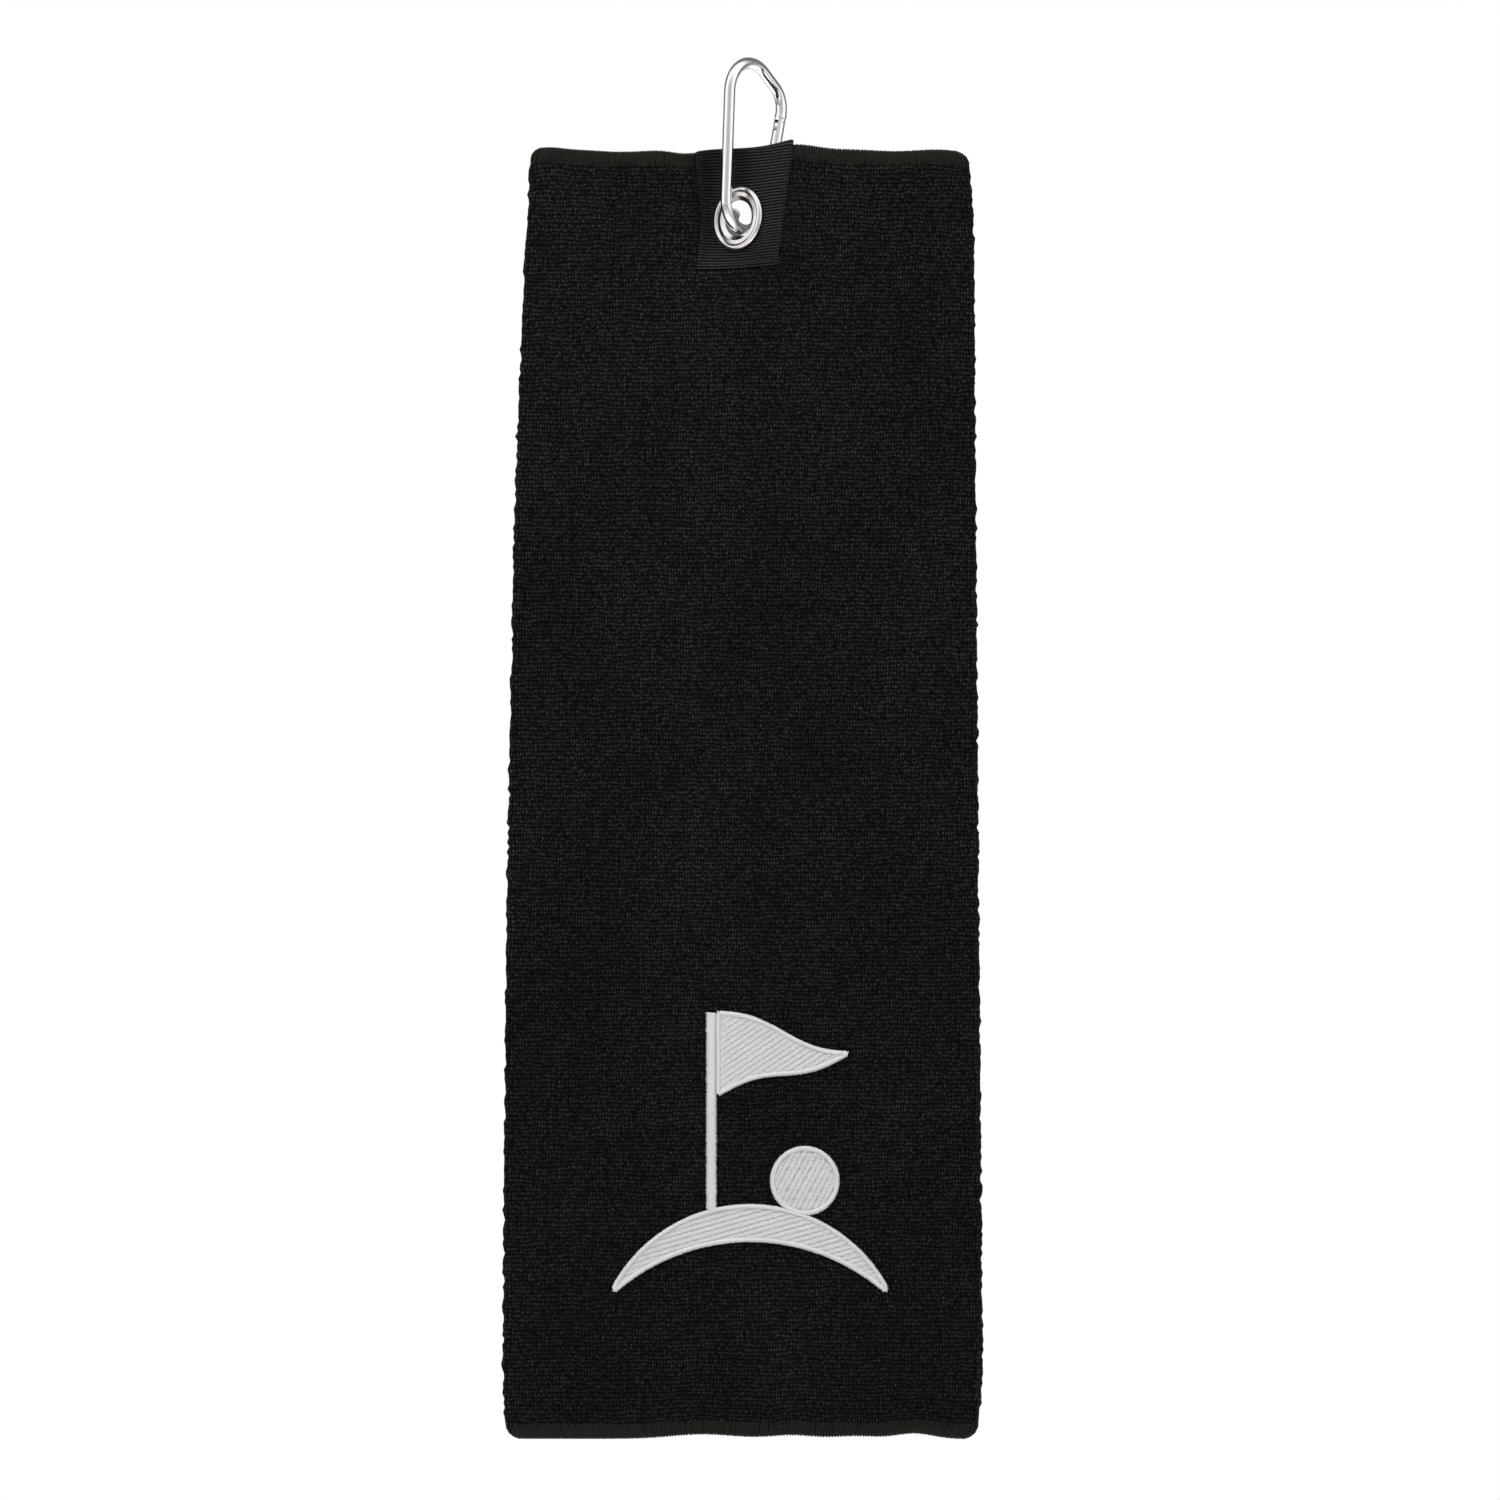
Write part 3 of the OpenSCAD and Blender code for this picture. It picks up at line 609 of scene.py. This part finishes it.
def eyelet_tape():
    """The tape folded over the top edge, ribbed on its outer face."""
    x = np.linspace(TAPE_LOW[0], TAPE_HIGH[0], 41)
    run = np.arange(-TAPE_L, TAPE_L + 0.01, RIB / 4)
    rib = 0.11 * np.cos(2 * math.pi * run / RIB)
    edge = np.minimum(x - x[0], x[-1] - x)
    round_off = np.clip(edge / 0.6, 0, 1) ** 0.5
    half = (TAPE_T / 2 + rib[:, None]) * (0.35 + 0.65 * round_off)[None, :]
    outer = tape_point(x[None, :], run[:, None], half)
    inner = tape_point(x[None, :], run[:, None], -TAPE_T / 2 + 0 * half)
    verts, faces = slab(outer, inner, hole_cells(outer, TAPE_HOLE_R))
    flat = np.stack(np.broadcast_arrays(x[None, :], run[:, None]), -1).reshape(-1, 2)
    uv = np.concatenate([flat, flat + np.array([TAPE_INSIDE_MAP, 0])])
    obj = mesh_object("eyelet_tape_ribbed", verts, faces, TAPE, uv=uv)
    return declared(obj, "eyelet_tape")


def lockstitches(x, run):
    """Stitches on the tape through these places, one row for each; their ends dip into the tape."""
    rise = TAPE_T / 2 + np.array([-0.12, 0.12, 0.18, 0.12, -0.12])
    path = tape_point(x, run, rise[None, :])
    return strands(path, surface_normals(path, tape_point(x, run, rise[None, :] + 0.5)), 0.42, 0.36)


def tape_stitching():
    """Lockstitches along the tape's sides and lower end, front and back."""
    inset, pitch, length = 1.5, 2.6, 2.2
    step = np.linspace(-0.5, 0.5, 5)[None, :] * length
    parts = []
    for side in (-1, 1):
        x = np.arange(TAPE_LOW[0] + 2.8, TAPE_HIGH[0] - 2.4, pitch)[:, None] + step
        parts.append(lockstitches(x, side * (TAPE_L - inset) + 0 * x))
        for x in (TAPE_LOW[0] + inset, TAPE_HIGH[0] - inset):
            run = side * (np.arange(5.0, TAPE_L - 3, pitch)[:, None] + step)
            parts.append(lockstitches(x + 0 * run, run))
    obj = mesh_object("tape_lockstitches", *joined(parts), SEAM)
    return declared(obj, "tape_stitching")


# ---- embroidery ----
MOTIF_X = 0.5 * (BACKING_LOW[0] + BACKING_HIGH[0])
MOTIF_Z = 0.5 * (BACKING_LOW[2] + BACKING_HIGH[2])
# distance between rows of stitches
ROW = 0.42


def on_front(u, v, lift):
    """A point of the motif, lift millimetres in front of the pile."""
    x, z = MOTIF_X + u, MOTIF_Z + v
    return on_stack(x, -(PITCH + LAYER_T / 2 + lift), z)


def thread_runs(starts, ends, lift, steps, width, height):
    """Straight stitches from starts to ends, arched by lift(u, v, share)."""
    share = np.linspace(0, 1, steps)
    uv = starts[:, None, :] + (ends - starts)[:, None, :] * share[None, :, None]
    rise = lift(uv[..., 0], uv[..., 1], share[None, :])
    path = on_front(uv[..., 0], uv[..., 1], rise)
    normal = surface_normals(path, on_front(uv[..., 0], uv[..., 1], rise + 0.5))
    return strands(path, normal, width, height)


def crossings(outline, angle, row):
    """Where a line at this angle and offset crosses an outline, in pairs."""
    c, s = math.cos(angle), math.sin(angle)
    u = outline[:, 0] * c + outline[:, 1] * s
    v = -outline[:, 0] * s + outline[:, 1] * c
    u2, v2 = np.roll(u, -1), np.roll(v, -1)
    hit = (v - row) * (v2 - row) < 0
    t = (row - v[hit]) / (v2[hit] - v[hit])
    return np.sort(u[hit] + t * (u2[hit] - u[hit]))


def filled(outline, angle, length=4.2, dents=None):
    """Tatami filling: rows of staggered stitches inside an outline."""
    c, s = math.cos(angle), math.sin(angle)
    v = -outline[:, 0] * s + outline[:, 1] * c
    starts, ends = [], []
    for k, row in enumerate(np.arange(v.min() + ROW / 2, v.max(), ROW)):
        cuts = crossings(outline, angle, row)
        for a, b in zip(cuts[0::2], cuts[1::2]):
            if b - a < 0.6:
                continue
            marks = np.arange(math.floor(a / length) * length + (k % 4) * length / 4, b, length)
            marks = np.concatenate([[a], marks[(marks > a + 0.5) & (marks < b - 0.5)], [b]])
            for p, q in zip(marks[:-1], marks[1:]):
                starts.append((p * c - row * s, p * s + row * c))
                ends.append((q * c - row * s, q * s + row * c))

    def lift(u, v, share):
        rise = 0.42 + 0.16 * np.sin(np.pi * share)
        return rise - (dents(u, v) if dents else 0)

    return thread_runs(np.array(starts), np.array(ends), lift, 6, ROW * 1.15, 0.42)


def satin_line(points, width, closed=True, rise=0.75):
    """Satin stitches across a line, packed side by side."""
    nxt = np.roll(points, -1, axis=0) if closed else points[1:]
    base = points if closed else points[:-1]
    length = np.linalg.norm(nxt - base, axis=1)
    at = np.concatenate([[0], np.cumsum(length)])
    where = np.arange(ROW / 2, at[-1], ROW * 0.9)
    ends = np.concatenate([points, points[:1]]) if closed else points
    u, v = (np.interp(where, at, ends[:, k]) for k in (0, 1))
    du = np.interp(where + 0.3, at, ends[:, 0]) - np.interp(where - 0.3, at, ends[:, 0])
    dv = np.interp(where + 0.3, at, ends[:, 1]) - np.interp(where - 0.3, at, ends[:, 1])
    run = np.hypot(du, dv) + 1e-9
    side = np.stack([-dv / run, du / run], -1) * width / 2
    slant = np.stack([du / run, dv / run], -1) * 0.15
    centre = np.stack([u, v], -1)
    ragged = 1 + rng.normal(size=(len(centre), 1)) * 0.05

    def lift(uu, vv, share):
        return 0.25 + rise * np.sin(np.pi * share) ** 0.6

    reach = side * ragged + slant
    return thread_runs(centre - reach, centre + reach, lift, 7, ROW * 1.1, 0.4)


# motif sizes, from its middle
POLE_X, POLE_W, POLE_FOOT, POLE_TOP = -12.0, 3.2, -16.1, 45.0
PENNANT_L, PENNANT_H = 40.0, 25.0
HILL_W, HILL_R, HILL_MID, HILL_CUT_R, HILL_CUT = 84.0, 48.0, -63.0, 64.0, -89.3
BALL_R, BALL = 10.0, np.array([17.0, -7.0])


def pennant_outline():
    """Tapering flag with a ripple."""
    share = np.linspace(0, 1, 25)
    ripple = 1.6 * np.sin(2 * math.pi * share)
    u = POLE_X + POLE_W / 2 + 0.6 + PENNANT_L * share
    foot = POLE_TOP - PENNANT_H
    low = np.stack([u, foot + PENNANT_H / 2 * share + ripple], -1)
    high = np.stack([u, foot + PENNANT_H - PENNANT_H / 2 * share + ripple], -1)
    return np.concatenate([low, high[::-1][1:]])


def hill_outline():
    """Crescent between two circles."""
    us = np.linspace(-HILL_W / 2, HILL_W / 2, 80)
    high = HILL_MID + np.sqrt(HILL_R**2 - us**2)
    low = HILL_CUT + np.sqrt(HILL_CUT_R**2 - us**2)
    return np.concatenate([np.stack([us, high], -1), np.stack([us, low], -1)[::-1]])


def ball_dents(u, v):
    """Dimples of the ball on a hexagonal grid."""
    pitch, row_pitch, dent_r, dent_depth = 3.6, 3.6 * 0.866, 0.95, 0.5
    a, b = (u - BALL[0]) / pitch, (v - BALL[1]) / row_pitch
    row = np.round(b)
    shift = np.where(row % 2 == 0, 0.0, 0.5)
    col = np.round(a - shift) + shift
    d = np.hypot((a - col) * pitch, (b - row) * row_pitch)
    return dent_depth * np.exp(-((d / dent_r) ** 2))


def ball_outline():
    a = np.radians(np.arange(0, 360, 5))
    return BALL + BALL_R * np.stack([np.cos(a), np.sin(a)], -1)


def embroidery():
    """One object of stitches for each CAD piece of the motif."""
    pole = np.array([[POLE_X, POLE_FOOT], [POLE_X, POLE_TOP]])
    pennant, hill, ball = pennant_outline(), hill_outline(), ball_outline()
    made = {
        "embroidery_pole": [satin_line(pole, POLE_W, closed=False, rise=0.85)],
        "embroidery_pennant": [filled(pennant, math.radians(12)), satin_line(pennant, 1.5)],
        "embroidery_hill": [filled(hill, math.radians(-6)), satin_line(hill, 1.5)],
        "embroidery_ball": [filled(ball, math.radians(40), dents=ball_dents), satin_line(ball, 1.6)],
    }
    return [declared(mesh_object(node + "_stitches", *joined(parts), WHITE), node)
            for node, parts in made.items()]


def embroidery_backing():
    """Non-woven sheet between the front panel and the inner flap."""
    x = np.linspace(BACKING_LOW[0], BACKING_HIGH[0], 49)
    z = np.linspace(BACKING_HIGH[2], BACKING_LOW[2], 50)
    off, half = -PITCH / 2, 0.06
    front = on_stack(x[None, :], off - half + 0 * z[:, None], z[:, None])
    back = on_stack(x[None, :], off + half + 0 * z[:, None], z[:, None])
    obj = mesh_object("backing_sheet", *slab(front, back), BACKING)
    return declared(obj, "embroidery_backing")


# ---- metal keeps its CAD shape ----
METAL = {
    "eyelet_barrel": NICKEL,
    "eyelet_washer": NICKEL,
    "carabiner_body": WIRE,
    "carabiner_gate": WIRE,
    "gate_hinge_rivet": STEEL,
    "gate_latch_pin": STEEL,
    "gate_plunger": BRASS,
    "gate_spring": SPRING,
}


def dress(node, material):
    obj = frame["nodes"][node]
    if not obj.material_slots:
        obj.data.materials.append(material)
    for slot in obj.material_slots:
        slot.material = material


# ---- studio ----
# the picture is this many towel lengths tall, with this share of it below the towel
VIEW_SHARE, FOOT_SHARE = 1.1646, 0.0414


def world():
    """White backdrop; metal sees soft white at its sides and grey ahead, so that it gets streaks."""
    scene = bpy.context.scene
    scene.view_settings.view_transform = "Standard"
    if scene.world is None:
        scene.world = bpy.data.worlds.new("studio")
    scene.world.use_nodes = True
    nodes, links = scene.world.node_tree.nodes, scene.world.node_tree.links
    nodes.clear()
    out = nodes.new("ShaderNodeOutputWorld")
    backdrop = nodes.new("ShaderNodeBackground")
    backdrop.inputs["Color"].default_value = (1.0, 1.0, 1.0, 1)
    lit = nodes.new("ShaderNodeBackground")
    mix = nodes.new("ShaderNodeMixShader")
    path = nodes.new("ShaderNodeLightPath")
    coords = nodes.new("ShaderNodeTexCoord")
    split = nodes.new("ShaderNodeSeparateXYZ")
    ahead = nodes.new("ShaderNodeMapRange")
    ahead.inputs["From Min"].default_value = -1.0
    ramp = nodes.new("ShaderNodeValToRGB")
    # greys from straight in front of the towel to straight behind it
    stops = [(0.0, 0.5), (0.04, 0.55), (0.2, 1.15), (0.48, 1.15), (0.6, 0.2), (1.0, 0.14)]
    for k, (position, grey) in enumerate(stops):
        stop = ramp.color_ramp.elements[k] if k < 2 else ramp.color_ramp.elements.new(position)
        stop.position = position
        stop.color = (grey, grey, grey, 1)
    # the lamps light the cloth, so the world is weaker there than in reflections
    soft = nodes.new("ShaderNodeMapRange")
    soft.inputs["To Min"].default_value = 1.0
    soft.inputs["To Max"].default_value = 0.2
    links.new(coords.outputs["Generated"], split.inputs[0])
    links.new(split.outputs["Y"], ahead.inputs["Value"])
    links.new(ahead.outputs["Result"], ramp.inputs["Fac"])
    links.new(ramp.outputs[0], lit.inputs["Color"])
    links.new(path.outputs["Is Diffuse Ray"], soft.inputs["Value"])
    links.new(soft.outputs["Result"], lit.inputs["Strength"])
    links.new(path.outputs["Is Camera Ray"], mix.inputs[0])
    links.new(lit.outputs[0], mix.inputs[1])
    links.new(backdrop.outputs[0], mix.inputs[2])
    links.new(mix.outputs[0], out.inputs["Surface"])


def lamp(name, place, target, size, power):
    """Square area lamp that metal doesn't mirror; metres and watts."""
    data = bpy.data.lights.new(name, "AREA")
    data.size, data.energy = size, power
    obj = bpy.data.objects.new(name, data)
    bpy.context.scene.collection.objects.link(obj)
    obj.location = place
    obj.visible_glossy = False
    obj.rotation_mode = "QUATERNION"
    obj.rotation_quaternion = (Vector(target) - Vector(place)).to_track_quat("-Z", "Y")


def lamps():
    middle_z = 0.5 * (TOP + BOTTOM) * MM
    lamp("key", (-0.4, -0.55, middle_z + 0.6), (0, 0, middle_z + 0.2), 0.5, 8.4)
    lamp("fill", (0.6, -0.7, middle_z + 0.45), (0, 0, middle_z + 0.15), 0.6, 5.6)
    lamp("back", (0.6, 1.2, middle_z + 0.6), (0, 0, middle_z), 0.8, 26)
    lamp("above", (0, 0.4, 2.4), (0, 0.4, 0), 2.5, 52)


def floor():
    """Pale round floor well below the towel."""
    radius, level = 3.0, -0.78
    mesh = bpy.data.meshes.new("floor")
    a = np.arange(96) / 96 * 2 * np.pi
    rim = np.stack([radius * np.cos(a), radius * np.sin(a), level + 0 * a], -1)
    mesh.from_pydata(rim.tolist(), [], [list(range(len(rim)))])
    pale = Shader("pale_floor", Roughness=0.9)
    speck = pale.node("TexNoise", Vector=pale.place((0.02, 0.02, 0.02)), Scale=1.0, Detail=3.0)
    pale.to("Base Color", pale.ramp(speck.outputs["Fac"], [
        (0.3, (0.88, 0.88, 0.87)), (0.7, (0.9, 0.9, 0.9))]))
    mesh.materials.append(pale.material)
    obj = bpy.data.objects.new("floor", mesh)
    bpy.context.scene.collection.objects.link(obj)


def camera():
    """Straight in front, far back with a long lens."""
    view_height = VIEW_SHARE * LENGTH
    distance = 2400.0
    data = bpy.data.cameras.new("camera")
    data.sensor_width = 36
    data.lens = data.sensor_width * distance / view_height
    data.clip_start, data.clip_end = 0.05, 50
    obj = bpy.data.objects.new("camera", data)
    bpy.context.scene.collection.objects.link(obj)
    obj.location = (0, -distance * MM, (BOTTOM + (0.5 - FOOT_SHARE) * view_height) * MM)
    obj.rotation_euler = (math.pi / 2, 0, 0)
    bpy.context.scene.camera = obj


world()
lamps()
floor()
camera()
cloth = towel_cloth()
hems = [
    overlock("top_hem_thread", "top_hem_overlock", True),
    overlock("bottom_hem_thread", "bottom_hem_overlock", False),
    flap_overlock("inner_flap_thread", "inner_flap_overlock", False),
    flap_overlock("outer_flap_thread", "outer_flap_overlock", True),
]
tape = eyelet_tape()
stitching = tape_stitching()
motif = embroidery()
backing = embroidery_backing()
for metal_node, metal in METAL.items():
    dress(metal_node, metal)
